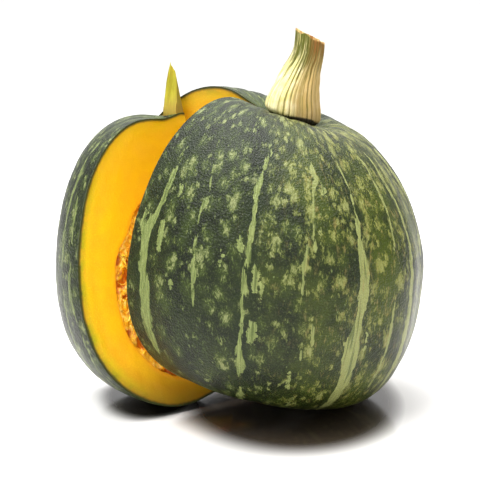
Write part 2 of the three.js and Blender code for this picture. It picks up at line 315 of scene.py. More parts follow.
def drawn_stations(random, half, first, last):
    """Stations for a stripe on a hidden side: it swells, thins and breaks at random."""
    stations = [(first - STATION_LEAD, 0.0, -1.0)]
    arc = first
    while arc < last:
        width = half * random.uniform(*WIDTH_SHARES)
        if random.random() < 0.12 + 0.25 / half:
            width = BREAK_WIDTH
        stations.append((arc, random.uniform(-SIDE_STEP, SIDE_STEP), width))
        arc += random.uniform(*STATION_STEP)
    stations.append((last + STATION_LEAD, 0.0, -1.0))
    return tuple(stations)


def drawn_marks():
    """Stripes, threads and patches of the hidden sides, in the same terms as those that show."""
    random = np.random.default_rng(77)

    def drawn(longitudes, half, start, end):
        return [(lon, drawn_stations(random, half, random.uniform(*start), end)) for lon in longitudes]

    stripes, threads = drawn(HIDDEN_STRIPES, *DRAWN_STRIPE), drawn(HIDDEN_THREADS, *DRAWN_THREAD)
    patches = []
    for lon in np.repeat(HIDDEN_STRIPES, PATCHES_EACH):
        longitude = lon + random.choice(PATCH_SIDES) * random.uniform(0.9, 1.4)
        rest = (random.uniform(*each) for each in (PATCH_ARC, PATCH_HALF, PATCH_LENGTH))
        patches.append((longitude, *rest))
    return stripes, threads, patches


def sideways_from(longitude, centre, radius):
    """Millimetres round the fruit from the meridian at centre degrees."""
    offset = (longitude - centre * RAD + math.pi) % (2 * math.pi) - math.pi
    return offset * radius


def stripe_field(longitude, arc, radius, stripes, seed):
    """Millimetres inside the nearest stripe's edge; negative outside."""
    best = np.full(longitude.shape, OUTSIDE)
    for number, (centre, stations) in enumerate(stripes):
        table = np.array(stations)
        along = np.stack([arc / 16, np.full_like(arc, number * 7.7), np.zeros_like(arc)], axis=-1)
        wander = 0.5 * value_noise(along.reshape(-1, 3), seed).reshape(arc.shape)
        side = np.interp(arc, table[:, 0], table[:, 1]) + wander
        half = np.interp(arc, table[:, 0], table[:, 2])
        best = np.maximum(best, half - np.abs(sideways_from(longitude, centre, radius) - side))
    return best


def patch_field(longitude, arc, radius, patches):
    """Millimetres inside the nearest patch's edge; negative outside."""
    best = np.full(longitude.shape, OUTSIDE)
    for centre, middle, half, length in patches:
        across = sideways_from(longitude, centre, radius) / half
        down = (arc - middle) / length
        best = np.maximum(best, (1 - np.sqrt(across**2 + down**2)) * half)
    return best


DRAWN_STRIPES, DRAWN_THREADS, DRAWN_PATCHES = drawn_marks()


def skin_fields(longitude, arc, points):
    """The marks, the ripeness and the distance from the stem at each point of the skin."""
    radius = np.hypot(points[..., 0], points[..., 1])
    place = (longitude, arc, radius)
    return {
        "skin_map": round_axis(MAP_RADIUS, longitude, arc / MAP_DOWN),
        "stripe": stripe_field(*place, list(SEEN_STRIPES) + DRAWN_STRIPES, 301),
        "patch": patch_field(*place, list(SEEN_PATCHES) + DRAWN_PATCHES),
        "thread": stripe_field(*place, list(SEEN_THREADS) + DRAWN_THREADS, 401),
        "sunny": 0.5 - 0.5 * np.cos(longitude - SHADED_LONGITUDE * RAD),
        "stem_near": radius + np.where(points[..., 2] > 0, 0, 200),
        # where painted shade goes, in the gap round the foot of the stem
        "stem_gap": stem_moat(points),
    }


# ---- mesh building

BOX_LOW, BOX_HIGH = np.array(cad_box)


def quads(rows, columns, wrap=False):
    """Four-sided faces of a grid of points; wrap joins the last column to the first."""
    index = np.arange(rows * columns).reshape(rows, columns)
    if wrap:
        index = np.concatenate([index, index[:, :1]], axis=1)
    corners = [index[:-1, :-1], index[1:, :-1], index[1:, 1:], index[:-1, 1:]]
    return np.stack(corners, axis=-1).reshape(-1, 4)


class Sheet:
    """Collects forms with their fields, to be welded into one mesh."""

    def __init__(self):
        self.points, self.faces, self.slots, self.fields, self.count = [], [], [], {}, 0

    def add(self, points, faces, slot=0, fields=None):
        """Adds points with the faces between them; a field that isn't given is 0 there."""
        fields = fields or {}
        self.points.append(points)
        self.faces.append(faces + self.count)
        self.slots.append(np.full(len(faces), slot))
        for name in sorted(set(self.fields) | set(fields)):
            width = 3 if name == "skin_map" else 1
            stored = self.fields.setdefault(name, [np.zeros((self.count, width))])
            stored.append(np.reshape(fields.get(name, np.zeros(len(points) * width)), (-1, width)))
        self.count += len(points)

    def grid(self, points, slot=0, fields=None, wrap=False):
        rows, columns = points.shape[:2]
        self.add(points.reshape(-1, 3), quads(rows, columns, wrap), slot, fields)

    def mesh(self, name, materials):
        faces = [face for block in self.faces for face in block.tolist()]
        return new_mesh(name, np.concatenate(self.points), faces, materials)


def new_mesh(name, points, faces, materials):
    mesh = bpy.data.meshes.new(name)
    mesh.from_pydata(np.asarray(points).tolist(), [], faces)
    for material in materials:
        mesh.materials.append(material)
    return mesh


def new_object(name, data):
    made = bpy.data.objects.new(name, data)
    bpy.context.scene.collection.objects.link(made)
    return made


def stand(points, pose):
    """From the fruit's frame in mm to the row frame in metres, kept inside the solids' box."""
    rotation, place = pose
    return np.clip((points @ rotation.T + place) / 1000, BOX_LOW, BOX_HIGH)


def set_fields(mesh, fields):
    """Stores each field on the mesh's points, as a number or as a vector."""
    for name, values in fields.items():
        is_vector = values.size == 3 * len(mesh.vertices)
        kind, stored = ("FLOAT_VECTOR", "vector") if is_vector else ("FLOAT", "value")
        mesh.attributes.new(name, kind, "POINT").data.foreach_set(stored, values.ravel())


def weld(mesh, distance, shortest=0.0):
    """Joins points closer than distance, drops edges up to shortest and turns all faces outwards."""
    work = bmesh.new()
    work.from_mesh(mesh)
    bmesh.ops.remove_doubles(work, verts=work.verts, dist=distance)
    bmesh.ops.dissolve_degenerate(work, edges=work.edges, dist=shortest)
    bmesh.ops.recalc_face_normals(work, faces=work.faces)
    work.to_mesh(mesh)
    work.free()


def shade(mesh, sharp):
    """Smooth shading, with creases where faces meet at more than sharp degrees."""
    mesh.polygons.foreach_set("use_smooth", [True] * len(mesh.polygons))
    mesh.set_sharp_from_angle(angle=sharp * RAD)
    mesh.update()


def piece(name, sheet, pose, materials, sharp):
    """Welds a sheet's forms, stood in their pose, into one object."""
    points = np.concatenate(sheet.points)
    if pose is WEDGE_POSE:
        points = without_edge(points)
    sheet.points = [stand(points, pose)]
    mesh = sheet.mesh(name, materials)
    mesh.polygons.foreach_set("material_index", np.concatenate(sheet.slots).astype(np.int32))
    set_fields(mesh, {field: np.concatenate(blocks) for field, blocks in sheet.fields.items()})
    weld(mesh, 2e-6, 1e-7)
    shade(mesh, sharp)
    return new_object(name, mesh)


def polar_steps(count):
    """Polar angles from pole to pole, closer together near the poles."""
    t = np.linspace(0, 1, count + 1)
    return math.pi * (t - 0.035 * np.sin(4 * math.pi * t))


RIND, FLESH = 0, 1
DEEP = 30.0                   # depth given to the cavity's wall, mm
KNIFE_WAVE, KNIFE_WAVE_SIZE = 0.22, 14.0
LAYERS_TO_SKIN = 1.6          # higher crowds the layers of a cut face towards the skin


def profile_distance(points, line):
    """Distance from each point to a polyline, both in the cut's own plane."""
    start, step = line[:-1], np.diff(line, axis=0)
    length = np.maximum((step**2).sum(1), 1e-12)
    best = np.full(len(points), 1e9)
    for corner, side, square in zip(start, step, length):
        t = np.clip(((points - corner) @ side) / square, 0, 1)
        best = np.minimum(best, np.linalg.norm(points - corner - t[:, None] * side, axis=1))
    return best


def fruit_piece(name, pose, sector, across, down, layers):
    """Rind over the sector of longitudes, two cut faces and the cavity wall: one closed body."""
    sheet = Sheet()
    polar = polar_steps(down)
    longitude = np.linspace(sector[0] * RAD, sector[1] * RAD, across + 1)
    lon, pol = np.meshgrid(longitude, polar)
    rind = fine_skin(lon, pol, WEDGE_STEM_DIP if pose is WEDGE_POSE else STEM_DIP)
    wall = cavity(lon, pol)
    sheet.grid(rind, RIND, skin_fields(lon, meridian_length(rind), rind))
    lining = wall[:, np.unique(np.round(np.linspace(0, across, max(8, across // 6) + 1)).astype(int))]
    sheet.grid(lining, FLESH, {"depth": np.full(lining.shape[:2], DEEP)})
    part = 1 - (1 - np.linspace(0, 1, layers + 1)) ** LAYERS_TO_SKIN
    for column, angle, side in ((0, sector[0], 1), (-1, sector[1], -1)):
        heading, normal = cut_directions(angle, side)
        outer, inner = rind[:, column], wall[:, column]
        grid = inner[:, None] + (outer - inner)[:, None] * part[None, :, None]
        flat = np.stack([grid @ heading, grid[..., 2]], axis=-1)
        size = flat.shape[:2]
        depth = profile_distance(flat.reshape(-1, 2), flat[::2, -1]).reshape(size)
        core = profile_distance(flat.reshape(-1, 2), flat[::2, 0]).reshape(size)
        # shallow waves left by the knife, none at the rim
        wave = KNIFE_WAVE * fractal(grid, KNIFE_WAVE_SIZE, 3, 61) * smooth(depth, 0, 3) * smooth(core, 0, 3)
        grid = grid + normal * np.abs(wave)[..., None]
        around = np.stack([flat[..., 0] / MAP_DOWN, np.full(size, column + 2.0), flat[..., 1] / MAP_DOWN], -1)
        sheet.grid(grid, FLESH, {"skin_map": around, "depth": depth, "core": core})
    return piece(name, sheet, pose, (RIND_MATERIAL, FLESH_MATERIAL), sharp=38)


# ---- materials


def srgb(red, green, blue):
    """Linear colour from the usual 0 to 255 values."""
    shares = [value / 255 for value in (red, green, blue)]
    return (*(s / 12.92 if s <= 0.04045 else ((s + 0.055) / 1.055) ** 2.4 for s in shares), 1.0)


class Nodes:
    """Short calls for a node tree."""

    def __init__(self, tree):
        self.tree = tree

    def put(self, socket, value):
        if isinstance(value, bpy.types.NodeSocket):
            self.tree.links.new(value, socket)
        else:
            socket.default_value = value

    def add(self, kind, inputs):
        node = self.tree.nodes.new("ShaderNode" + kind)
        for socket, value in inputs.items():
            self.put(node.inputs[socket], value)
        return node

    def field(self, name):
        """A field of the mesh; the skin map is the one vector among them."""
        node = self.add("Attribute", {})
        node.attribute_name = name
        return node.outputs["Vector" if name == "skin_map" else "Fac"]

    def place(self, kind="Object"):
        return self.add("TexCoord", {}).outputs[kind]

    def split(self, vector):
        return self.add("SeparateXYZ", {0: vector}).outputs

    def math(self, operation, *values):
        node = self.add("Math", dict(enumerate(values)))
        node.operation = operation
        return node.outputs[0]

    def plus(self, a, b):
        return self.math("ADD", a, b)

    def times(self, a, b):
        return self.math("MULTIPLY", a, b)

    def larger(self, a, b):
        return self.math("MAXIMUM", a, b)

    def swing(self, noise, width):
        """Noise turned to swing about 0."""
        return self.times(self.math("SUBTRACT", noise, 0.5), width)

    def map(self, vector, scale, move):
        inputs = {"Vector": vector, "Scale": scale, "Location": move}
        return self.add("Mapping", inputs).outputs[0]

    def stretch(self, vector, share, move=(0, 0, 0)):
        """vector with only a share of its Z, so that what is drawn on it runs out along Z."""
        return self.map(vector, (1, 1, share), move)

    def noise(self, vector, scale, detail=3, rough=0.55, distort=0):
        inputs = {"Vector": vector, "Scale": scale, "Detail": detail, "Roughness": rough}
        return self.add("TexNoise", inputs | {"Distortion": distort}).outputs["Fac"]

    def shift(self, vector, scale, amount):
        """vector moved about by noise."""
        noise = self.add("TexNoise", {"Vector": vector, "Scale": scale, "Detail": 2})
        moved = self.add("VectorMath", {})
        moved.operation = "MULTIPLY_ADD"
        for socket, value in zip(moved.inputs, (noise.outputs["Color"], (amount,) * 3, vector)):
            self.put(socket, value)
        return moved.outputs[0]

    def cells(self, vector, scale):
        """Distance to the nearest of scattered points."""
        return self.add("TexVoronoi", {"Vector": vector, "Scale": scale}).outputs["Distance"]

    def fit(self, value, low, high, to_low, to_high):
        """value between low and high, eased to lie between to_low and to_high."""
        inputs = {"Value": value, "From Min": low, "From Max": high, "To Min": to_low, "To Max": to_high}
        node = self.add("MapRange", inputs)
        node.interpolation_type = "SMOOTHSTEP"
        return node.outputs[0]

    def rise(self, value, low, high, top=1):
        return self.fit(value, low, high, 0, top)

    def fall(self, value, low, high, top=1):
        return self.fit(value, low, high, top, 0)

    def mix(self, factor, a, b):
        """From colour a to colour b, each a socket or a triple from 0 to 255."""
        node = self.add("Mix", {0: factor})
        node.data_type = "RGBA"
        for number, colour in ((6, a), (7, b)):
            self.put(node.inputs[number], srgb(*colour) if isinstance(colour, tuple) else colour)
        return node.outputs[2]

    def ramp(self, value, stops):
        node = self.add("ValToRGB", {0: value})
        ramp = node.color_ramp
        while len(ramp.elements) < len(stops):
            ramp.elements.new(0.5)
        for element, (position, colour) in zip(ramp.elements, stops):
            element.position = position
            element.color = srgb(*colour)
        return node.outputs[0]

    def bump(self, height, strength, distance):
        inputs = {"Height": height, "Strength": strength, "Distance": distance}
        return self.add("Bump", inputs).outputs[0]


class Material(Nodes):
    """A principled shader and the nodes that feed it."""

    def __init__(self, name):
        self.colour = None
        self.made = bpy.data.materials.new(name)
        self.made.use_nodes = True
        super().__init__(self.made.node_tree)
        self.tree.nodes.clear()
        self.shader = self.add("BsdfPrincipled", {})
        self.add("OutputMaterial", {0: self.shader.outputs[0]})

    def coat(self, factor, colour):
        """Lays a colour over what the material has so far."""
        self.colour = self.mix(factor, self.colour, colour)

    def finish(self, **sockets):
        self.put(self.shader.inputs["Base Color"], self.colour)
        for name, value in sockets.items():
            self.put(self.shader.inputs[name.replace("_", " ")], value)
        return self.made


def rind_material():
    n = Material("kabocha_rind")
    way = n.field("skin_map")
    bent = n.shift(way, 1.1, 0.3)
    near = n.field("stem_near")

    # dark ground, mottled, with fine speckle; greener and warmer on the ripe side
    broad = n.noise(way, 0.35, 3, 0.6)
    speckle = n.noise(n.stretch(way, 0.7), 13, 3, 0.7)
    mottling = n.rise(broad, 0.38, 0.62)
    deep = n.mix(mottling, (15, 20, 9), (29, 37, 16))
    ripe = n.mix(mottling, (28, 36, 7), (54, 64, 12))
    ripeness = n.rise(n.plus(n.field("sunny"), n.times(broad, 0.5)), 0.85, 1.3)
    ground = n.mix(ripeness, deep, ripe)
    ground = n.mix(n.rise(speckle, 0.5, 0.72, 0.5), ground, (76, 90, 44))

    # feathery pale flecks gathered in patches
    patches = n.cells(n.stretch(bent, 0.75), 1.15)
    minor = n.cells(n.stretch(bent, 0.8, (2.3, 4.1, 0.7)), 2)
    patch = n.larger(n.fall(patches, 0.08, 0.68, 1.05), n.fall(minor, 0.05, 0.68, 0.96))
    tint = n.fall(n.plus(patches, n.times(broad, 0.4)), 0.3, 0.85, 0.5)
    ground = n.mix(tint, ground, (52, 65, 22))
    strength = n.fit(n.noise(n.stretch(way, 1, (5, 2, 9)), 0.75, 3), 0.34, 0.62, 0.4, 1.1)
    feather = n.noise(n.stretch(bent, 0.52), 7, 5, 0.7, 0.9)
    level = n.plus(feather, n.times(n.times(patch, strength), 0.29))
    level = n.plus(level, n.times(ripeness, 0.025))
    # more pale flecks near the stem: partly the rind's own paler top, partly painted sheen on the upper
    # shoulder
    level = n.plus(level, n.fall(near, 35, 90, 0.06))
    fleck = n.rise(level, 0.64, 0.72)
    bright = n.rise(level, 0.7, 0.86)
    pale_fleck = n.mix(bright, (64, 76, 32), (124, 130, 84))
    pale_fleck = n.mix(n.times(ripeness, 0.5), pale_fleck, (134, 132, 58))
    n.colour = n.mix(n.times(fleck, 0.85), ground, pale_fleck)

    # single pale dots and dashes
    small = n.cells(n.stretch(bent, 0.55, (3, 1, 2)), 2.2)
    dot = n.fall(n.plus(small, n.times(feather, 0.6)), 0.31, 0.4)
    n.coat(n.times(dot, 0.5), (132, 146, 88))

    # stripes with sharp, forked edges, the ground darker beside them
    edge = n.swing(n.noise(n.stretch(way, 0.35), 4.2, 4, 0.6), 6)
    torn = n.swing(n.noise(bent, 3.4, 4, 0.65), 6.5)
    stripe = n.field("stripe")
    wide = n.larger(
        n.rise(n.plus(stripe, edge), 0.35, 0.7),
        n.rise(n.plus(n.field("patch"), torn), 0.1, 0.5),
    )
    thread = n.rise(n.plus(n.field("thread"), n.times(edge, 0.7)), 0, 0.3)
    beside = n.rise(stripe, -5, -0.8, 0.6)
    n.coat(n.times(beside, n.fit(bright, 0, 1, 1, 0.4)), (24, 34, 14))
    grain = n.noise(n.stretch(way, 0.1), 15, 4, 0.65)
    stripe_colour = n.mix(n.rise(grain, 0.36, 0.66), (90, 102, 54), (124, 134, 80))
    stripe_colour = n.mix(n.times(ripeness, 0.55), stripe_colour, (146, 146, 88))
    slit = n.rise(n.noise(n.stretch(way, 0.07, (6, 1, 4)), 6, 2, 0.5), 0.58, 0.66, 0.7)
    stripe_colour = n.mix(slit, stripe_colour, (60, 72, 32))
    band = n.larger(wide, n.times(thread, 0.88))
    n.coat(band, stripe_colour)

    # tan freckles on the ripe side, a corky collar at the stem, and painted shade in the gap round the stem's
    # foot
    tan = n.rise(n.noise(n.stretch(way, 0.4, (4, 7, 1)), 3.6, 5, 0.72), 0.55, 0.68)
    n.coat(n.times(tan, n.times(ripeness, 0.6)), (136, 122, 70))
    collar = n.fall(n.plus(near, n.times(feather, 9)), 19, 36, 0.5)
    n.coat(collar, (76, 90, 42))
    # painted shade: near black down in the gap round the foot of the stem
    n.coat(n.rise(n.field("stem_gap"), 0.3, 1), (14, 14, 9))

    pebbles = n.cells(n.shift(way, 3, 0.12), 8.5)
    pits = n.noise(way, 11, 4, 0.65)
    height = n.plus(n.times(pits, 0.8), n.times(pebbles, 0.7))
    height = n.plus(height, n.times(band, 0.12))
    return n.finish(
        Roughness=n.fit(pits, 0.3, 0.7, 0.28, 0.4),
        Normal=n.bump(height, 0.8, 0.0006),
        Specular_IOR_Level=0.18,
    )


def flesh_material():
    n = Material("kabocha_flesh")
    way = n.field("skin_map")
    depth = n.plus(n.field("depth"), n.swing(n.noise(way, 1.6, 4, 0.6), 1))
    layers = n.ramp(
        n.math("DIVIDE", depth, 14),
        (
            (0, (30, 34, 10)),
            (0.09, (66, 74, 8)),
            (0.17, (140, 138, 6)),
            (0.38, (196, 168, 2)),
            (0.66, (214, 162, 4)),
            (1, (230, 176, 14)),
        ),
    )
    mottled = n.noise(way, 0.9, 5, 0.6)
    n.colour = n.mix(n.rise(mottled, 0.35, 0.7, 0.5), layers, (222, 156, 4))
    fibre = n.noise(way, 11, 4, 0.7)
    n.coat(n.rise(fibre, 0.5, 0.75, 0.5), (244, 196, 34))
    n.coat(n.fall(fibre, 0.3, 0.48, 0.35), (204, 142, 2))
    # painted shade near the table, where the flesh is duller; deeper orange high on the near cut
    place = n.split(n.place())
    # painted shade: the flesh darkens towards the table
    n.coat(n.fall(place["Z"], 0.004, 0.034, 0.8), (140, 98, 4))
    high = n.times(n.rise(place["Z"], 0.098, 0.142), n.fall(place["Y"], 0, 0.03, 0.7))
    n.coat(high, (196, 150, 0))
    # dark rim under the rind, warmer flesh next to the cavity
    n.coat(n.fall(depth, 0.5, 2.1), (44, 50, 8))
    n.coat(n.fall(n.field("core"), 0, 3, 0.5), (226, 144, 14))
    height = n.plus(n.times(fibre, 0.5), n.noise(way, 3, 4, 0.6))
    return n.finish(
        Roughness=n.fit(mottled, 0.3, 0.7, 0.34, 0.5),
        Normal=n.bump(height, 0.3, 0.0006),
        Specular_IOR_Level=0.36,
        Subsurface_Weight=0.12,
        Subsurface_Radius=(1, 0.45, 0.1),
        Subsurface_Scale=0.003,
    )


def pulp_material():
    n = Material("kabocha_pulp")
    place = n.place()
    lumps = n.noise(place, 190, 5, 0.7)
    strings = n.noise(n.stretch(place, 0.3), 700, 3, 0.6)
    n.colour = n.ramp(
        lumps,
        (
            (0.32, (164, 88, 2)),
            (0.42, (222, 150, 14)),
            (0.52, (240, 190, 44)),
            (0.7, (252, 224, 116)),
        ),
    )
    n.coat(n.rise(strings, 0.5, 0.7, 0.5), (250, 206, 104))
    # painted shade: deeper orange down in the worn holes of the cut faces
    n.coat(n.rise(n.field("depth"), 0.3, 0.9, 0.8), (206, 104, 8))
    height = n.plus(lumps, n.times(strings, 0.5))
    return n.finish(
        Roughness=n.fit(strings, 0.3, 0.7, 0.28, 0.45),
        Normal=n.bump(height, 0.5, 0.0009),
        Subsurface_Weight=0.35,
        Subsurface_Radius=(1, 0.4, 0.08),
        Subsurface_Scale=0.003,
    )


def seed_material():
    n = Material("kabocha_seed")
    place = n.place()
    blotch = n.noise(place, 220, 3, 0.6)
    n.colour = n.ramp(blotch, ((0.3, (226, 176, 92)), (0.5, (240, 212, 146)), (0.7, (250, 232, 184))))
    film = n.noise(place, 90, 3, 0.6)
    n.coat(n.rise(film, 0.52, 0.66, 0.6), (244, 160, 40))
    return n.finish(
        Roughness=n.fit(blotch, 0.3, 0.7, 0.3, 0.42),
        Normal=n.bump(blotch, 0.2, 0.0004),
        Subsurface_Weight=0.1,
        Subsurface_Scale=0.002,
    )


def stem_material():
    n = Material("kabocha_stem")
    way = n.field("skin_map")
    warm = n.field("sunny")
    fibre = n.noise(n.stretch(way, 0.1), 9, 5, 0.65)
    streak = n.noise(n.stretch(way, 0.1, (3, 5, 2)), 6, 4, 0.62)
    mottled = n.noise(way, 1.4, 4, 0.6)
    n.colour = n.mix(n.rise(mottled, 0.3, 0.7), (216, 204, 134), (240, 232, 184))
    n.coat(n.rise(fibre, 0.45, 0.72, 0.6), (190, 172, 92))
    n.coat(n.rise(streak, 0.52, 0.68, 0.6), (168, 164, 84))
    tan = n.times(n.rise(n.plus(warm, n.times(streak, 0.5)), 0.7, 1.15), 0.8)
    n.coat(tan, (158, 124, 66))
    valley = n.rise(n.plus(n.field("stripe"), n.times(fibre, 0.3)), 0.42, 0.9)
    valley_colour = n.mix(n.rise(mottled, 0.35, 0.65), (96, 98, 34), (134, 112, 56))
    n.coat(n.times(valley, 0.8), valley_colour)
    # green streaks run down from the top, brown ones on the warm side
    reach = n.plus(n.field("depth"), n.swing(streak, 60))
    green = n.times(n.rise(reach, 24, 42), n.fit(fibre, 0.48, 0.64, 1, 0.5))
    n.coat(green, (80, 82, 10))
    rust = n.times(n.rise(reach, 32, 46), n.rise(warm, 0.62, 0.9, 0.9))
    n.coat(rust, (122, 78, 30))
    tip = n.rise(n.plus(n.field("cut"), n.times(mottled, 5)), 50.6, 51.9, 0.85)
    tip_colour = n.mix(n.rise(streak, 0.42, 0.6), (214, 186, 122), (176, 118, 62))
    n.coat(tip, tip_colour)
    # painted shade, near black, in the gap between the foot of the stem and the skin
    n.coat(n.fall(n.field("gap"), 1.2, 2.4, 0.96), (18, 13, 6))
    height = n.plus(fibre, n.times(mottled, 0.4))
    return n.finish(
        Roughness=n.fit(fibre, 0.3, 0.7, 0.6, 0.82),
        Normal=n.bump(height, 0.5, 0.0007),
        Specular_IOR_Level=0.3,
    )


def torn_stem_material(name, deep, pale, low):
    """Stem cut or torn lengthwise: fibres from deep to pale, and the colour low near the skin."""
    n = Material(name)
    way = n.field("skin_map")
    fibre = n.noise(n.stretch(way, 0.08), 8, 4, 0.6)
    mottled = n.noise(way, 0.9, 3, 0.6)
    n.colour = n.mix(n.rise(fibre, 0.35, 0.7), deep, pale)
    n.coat(n.rise(mottled, 0.4, 0.7, 0.5), deep)
    n.coat(n.fall(n.field("depth"), 16, 30, 0.8), low)
    return n.finish(
        Roughness=n.fit(fibre, 0.3, 0.7, 0.5, 0.7),
        Normal=n.bump(fibre, 0.4, 0.0005),
        Specular_IOR_Level=0.3,
        Subsurface_Weight=0.1,
        Subsurface_Scale=0.002,
    )


# Shade that the pieces throw on the floor, in metres: centre, half axes, the shares of those at which it
# starts to fade and has gone, and its depth.
POOLS = (
    ((0.030, -0.005), (0.060, 0.084), 0.84, 1.22, 1.0),    # under the big piece
    ((-0.049, 0.002), (0.027, 0.042), 0.8, 1.2, 1.0),      # under the wedge
    ((0.082, -0.012), (0.080, 0.095), 0.2, 1.0, 0.42),     # beside the big piece
)


def floor_material():
    """Glossy white, darkened where each piece keeps the light off it."""
    n = Material("studio_floor")
    place = n.place()

    def pool(centre, half, dark, clear, depth):
        scale = (1 / half[0], 1 / half[1], 1)
        move = (-centre[0] / half[0], -centre[1] / half[1], 0)
        length = n.add("VectorMath", {0: n.map(place, scale, move)})
        length.operation = "LENGTH"
        return n.fall(length.outputs["Value"], dark, clear, depth)

    under_body, under_wedge, beside = (pool(*numbers) for numbers in POOLS)
    shade = n.larger(n.larger(under_body, under_wedge), beside)
    n.colour = n.mix(shade, (248, 246, 244), (60, 52, 43))
    return n.finish(
        Roughness=n.fit(shade, 0, 1, 0.13, 0.16),
        Specular_IOR_Level=0.8,
    )


RIND_MATERIAL = rind_material()
FLESH_MATERIAL = flesh_material()
PULP_MATERIAL = pulp_material()
SEED_MATERIAL = seed_material()
STEM_MATERIAL = stem_material()
CUT_STEM_MATERIAL = torn_stem_material("kabocha_stem_cut", (196, 178, 100), (228, 216, 150), (200, 180, 110))
SLIVER_MATERIALS = (
    torn_stem_material("kabocha_sliver_side", (136, 128, 14), (174, 166, 42), (166, 138, 60)),
    torn_stem_material("kabocha_sliver", (112, 102, 16), (148, 136, 36), (126, 102, 38)),
)

# ---- the big piece and the wedge

main = fruit_piece("squash_main", BODY_POSE, BODY_SECTOR, across=380, down=190, layers=22)
wedge = fruit_piece("wedge_main", WEDGE_POSE, WEDGE_SECTOR, across=76, down=190, layers=60)

# ---- pulp

STRAND_STEPS, STRAND_SIDES = 12, 5
THIN_END = 0.35               # a string's ends, as a share of its middle
# strings on a cut face and in the hollow: start as a share of the way down, run down and round in radians,
# sag into the hollow as a share of the pulp's depth, and thickness in mm
FACE_START, FACE_RUN, FACE_THICK = (0.16, 0.9), (-0.16, 0.16), (0.25, 0.6)
HOLLOW_START, HOLLOW_RUN, HOLLOW_THICK = (0.22, 0.85), (-0.3, 0.3), (0.3, 0.7)
HOLLOW_TURN, HOLLOW_SAG = (-0.25, 0.25), (0.02, 0.12)
LUMPS = ((0.10, 22, 2, 71), (0.075, 7, 3, 73))   # share of the hollow, size, layers and seed of the noise
ROUGH_DEPTH, HOLE_DEPTH, HOLE_SIZE = 1.7, 2.4, 6.5
CUT_SETBACK = PULP_RECESS - 0.7
ON_CUT = 0.6                  # points nearer to a cut plane than this lie on the cut face


def tube(path, radii, sides):
    """A closed tapered tube along a path; returns points and faces."""
    along = np.gradient(path, axis=0)
    along /= np.linalg.norm(along, axis=1, keepdims=True) + 1e-9
    side = np.cross(along, [0.31, 0.22, 0.93])
    side /= np.linalg.norm(side, axis=1, keepdims=True) + 1e-9
    other = np.cross(along, side)
    angle = np.arange(sides) * 2 * math.pi / sides
    ring = side[:, None] * np.cos(angle)[None, :, None] + other[:, None] * np.sin(angle)[None, :, None]
    points = path[:, None] + ring * radii[:, None, None]
    count = len(path)
    first, last, end_ring = count * sides, count * sides + 1, (count - 1) * sides
    caps = []
    for step in range(sides):
        after = (step + 1) % sides
        caps.append((first, step, after, first))
        caps.append((last, end_ring + after, end_ring + step, last))
    points = np.concatenate([points.reshape(-1, 3), path[:1], path[-1:]])
    return points, np.concatenate([quads(count, sides, wrap=True), np.array(caps)])


def pulp_point(lon, pol, part):
    """Between the hollow (part 0) and the cavity wall (part 1)."""
    inner = egg(lon, pol, PULP_HOLLOW)
    lumps = sum(share * fractal(inner, *noise) for share, *noise in LUMPS)
    inner = inner + (egg(lon, pol, PULP_HOLLOW * 0.7) - inner) * lumps[..., None] * 2.2
    outer = cavity(lon, pol) * 0.998
    return inner + (outer - inner) * np.asarray(part)[..., None]


def worn_cuts(points, sector, seed):
    """Sets the cut faces back from the knife's planes and wears holes in them; also returns how deep in a
    hole each point is."""
    holes = smooth(fractal(points, HOLE_SIZE, 3, seed + 9), 0.12, 0.5)
    pocket = np.zeros(len(points))
    for angle, side in zip(sector, (1, -1)):
        heading, normal = cut_directions(angle, side)
        rough = 0.9 * fractal(points, 6, 3, seed) + 0.8 * fractal(points * [1, 1, 0.6], 2.6, 2, seed + 5)
        cut_face = (np.abs(points @ normal) < ON_CUT) & (points @ heading > 0)
        push = np.where(cut_face, CUT_SETBACK + np.abs(rough) * ROUGH_DEPTH + holes * HOLE_DEPTH, 0.0)
        points = points + normal * push[:, None]
        pocket = np.where(cut_face, holes, pocket)
    return points, pocket


